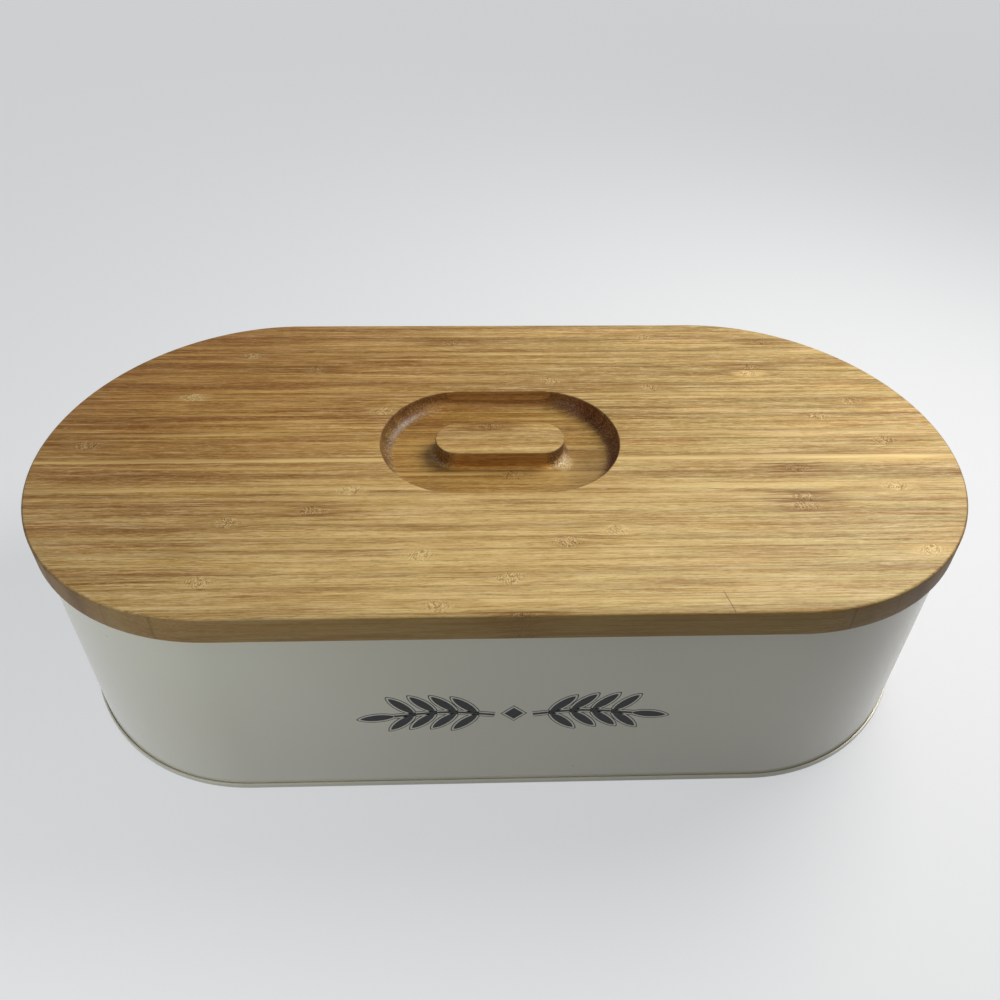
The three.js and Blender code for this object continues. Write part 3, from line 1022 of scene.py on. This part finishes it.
def enamel():
    """Cream enamel baked on sheet steel: a faint orange peel and a slightly uneven tone."""
    s = Shader("cream_enamel")
    x, y, z = s.place()
    point = s.vector(x, y, z)
    cloud = s.noise(point, CLOUD_SCALE, 1.0, 0.5)
    grit = s.noise(point, GRIT_SCALE, 2.0, 0.6)
    peel = s.noise(point, PEEL_SCALE, 1.0, 0.5)
    specks = s.noise(point, SPECK_SCALE, 0.0)
    colour = s.mix(s.spread(cloud, *NOISE_LEVELS), DEEP_ENAMEL, PALE_ENAMEL)
    colour = s.mix(s.spread(grit, 0.6, 0.8, 0.0, 0.06), colour, GRITTY_ENAMEL)
    colour = s.mix(s.spread(specks, 0.88, 0.92, 0.0, 0.2), colour, ENAMEL_SPECK)
    # Darker towards the bottom
    colour = s.mix(s.spread(z, DARKENING_HEIGHT, 0.0, 0.0, 0.2), colour, LOW_ENAMEL)
    s.put(s.surface.inputs["Base Color"], colour)
    s.put(s.surface.inputs["Roughness"], s.spread(cloud, *NOISE_LEVELS, *ENAMEL_ROUGHNESS))
    s.surface.inputs["Coat Weight"].default_value = COAT_WEIGHT
    s.surface.inputs["Coat Roughness"].default_value = COAT_ROUGHNESS
    s.bump(peel, 0.06, PEEL_RELIEF)
    return s.material


def print_ink():
    """Charcoal print, matt beside the enamel and a little thin in places."""
    s = Shader("charcoal_print")
    point = s.vector(*s.place())
    wear = s.noise(point, WEAR_SCALE, 3.0, 0.6)
    colour = s.mix(s.spread(wear, 0.45, 0.75), INK, WORN_INK)
    s.put(s.surface.inputs["Base Color"], colour)
    s.put(s.surface.inputs["Roughness"], s.spread(wear, *NOISE_LEVELS, *INK_ROUGHNESS))
    s.surface.inputs["Specular IOR Level"].default_value = INK_SPECULAR
    return s.material


# Scene

def add_camera():
    """The photograph's camera, with the crop of its picture as a shift."""
    forward = Vector((
        math.sin(CAMERA_YAW) * math.cos(CAMERA_PITCH),
        math.cos(CAMERA_YAW) * math.cos(CAMERA_PITCH),
        -math.sin(CAMERA_PITCH),
    ))
    level = Vector((math.cos(CAMERA_YAW), -math.sin(CAMERA_YAW), 0))
    down = forward.cross(level)
    right = level * math.cos(CAMERA_ROLL) + down * math.sin(CAMERA_ROLL)
    down = down * math.cos(CAMERA_ROLL) - level * math.sin(CAMERA_ROLL)
    camera = bpy.data.objects.new("camera", bpy.data.cameras.new("camera"))
    turn = Matrix((right, -down, -forward)).transposed().to_4x4()
    camera.matrix_world = Matrix.Translation(CAMERA_PLACE) @ turn
    camera.data.sensor_width = SENSOR_WIDTH
    camera.data.lens = FOCAL_SHARE * SENSOR_WIDTH
    camera.data.shift_y = (AXIS_PIXEL_Y - PICTURE_WIDTH / 2) / PICTURE_WIDTH
    camera.data.clip_start = CAMERA_NEAR
    bpy.context.scene.collection.objects.link(camera)
    bpy.context.scene.camera = camera


def add_light(name, place, target, size, power, colour):
    """Round soft lamp that points at its target."""
    light = bpy.data.lights.new(name, "AREA")
    light.shape = "DISK"
    light.size = size
    light.energy = power
    light.color = colour
    lamp = bpy.data.objects.new(name, light)
    lamp.location = place
    lamp.rotation_euler = (Vector(target) - Vector(place)).to_track_quat("-Z", "Y").to_euler()
    bpy.context.scene.collection.objects.link(lamp)


def seen_directly(tree):
    """1 for what the camera, a reflection or glass shows, and 0 for what lights the object."""
    path = tree.nodes.new("ShaderNodeLightPath")
    seen = path.outputs["Is Camera Ray"]
    for name in ("Is Glossy Ray", "Is Transmission Ray"):
        either = tree.nodes.new("ShaderNodeMath")
        either.operation = "MAXIMUM"
        tree.links.new(seen, either.inputs[0])
        tree.links.new(path.outputs[name], either.inputs[1])
        seen = either.outputs[0]
    return seen


def add_floor():
    """Pale floor that takes the object's shadow, with a glow that is seen but lights nothing."""
    bm = bmesh.new()
    bmesh.ops.create_grid(bm, x_segments=1, y_segments=1, size=FLOOR_SIZE)
    mesh = bpy.data.meshes.new("floor")
    bm.to_mesh(mesh)
    bm.free()
    floor = bpy.data.objects.new("floor", mesh)
    bpy.context.scene.collection.objects.link(floor)
    s = Shader("pale_floor")
    seen = seen_directly(s.tree)
    s.put(s.surface.inputs["Base Color"], s.mix(seen, FLOOR_COLOUR, FLOOR_SEEN_COLOUR))
    s.surface.inputs["Roughness"].default_value = FLOOR_ROUGHNESS
    s.surface.inputs["Specular IOR Level"].default_value = FLOOR_SPECULAR
    s.surface.inputs["Emission Color"].default_value = GLOW_COLOUR
    s.put(s.surface.inputs["Emission Strength"], s.times(seen, FLOOR_GLOW))
    floor.data.materials.append(s.material)


def add_world():
    """Soft studio surround, brighter above, behind and to the left than in front."""
    world = bpy.data.worlds.new("studio")
    bpy.context.scene.world = world
    world.use_nodes = True
    tree = world.node_tree
    coordinates = tree.nodes.new("ShaderNodeTexCoord")
    toward = tree.nodes.new("ShaderNodeVectorMath")
    toward.operation = "DOT_PRODUCT"
    toward.inputs[1].default_value = BRIGHT_SIDE
    tree.links.new(coordinates.outputs["Generated"], toward.inputs[0])
    level = tree.nodes.new("ShaderNodeMapRange")
    level.interpolation_type = "SMOOTHSTEP"
    for key, number in zip(MAP_RANGE_INPUTS, SURROUND_FADE + SURROUND_LEVELS):
        level.inputs[key].default_value = number
    tree.links.new(toward.outputs["Value"], level.inputs["Value"])
    shown = tree.nodes.new("ShaderNodeMix")
    tree.links.new(seen_directly(tree), shown.inputs[0])
    tree.links.new(level.outputs[0], shown.inputs[2])
    shown.inputs[3].default_value = BACKDROP_LEVEL
    tree.links.new(shown.outputs[0], tree.nodes["Background"].inputs["Strength"])
    tree.nodes["Background"].inputs["Color"].default_value = SURROUND_COLOUR


add_camera()
add_world()
add_light("window", **WINDOW)
add_light("fill", **FILL)
add_floor()

for part in range(BOARD_PARTS):
    board_part(part)

cream = enamel()
for name, node, bm in (("enamel_wall", "bin_wall", wall_mesh()), ("enamel_pan", "base_pan", pan_mesh())):
    shell = finish_mesh(bm, name)
    shell.data.materials.append(cream)
    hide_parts(node)
    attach(shell, "bin")

wheat = finish_mesh(ornament_mesh(), "wheat_print")
wheat.data.materials.append(print_ink())
wheat.data.materials.append(cream)
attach(wheat, "bin")

bpy.context.scene.view_settings.view_transform = "Standard"
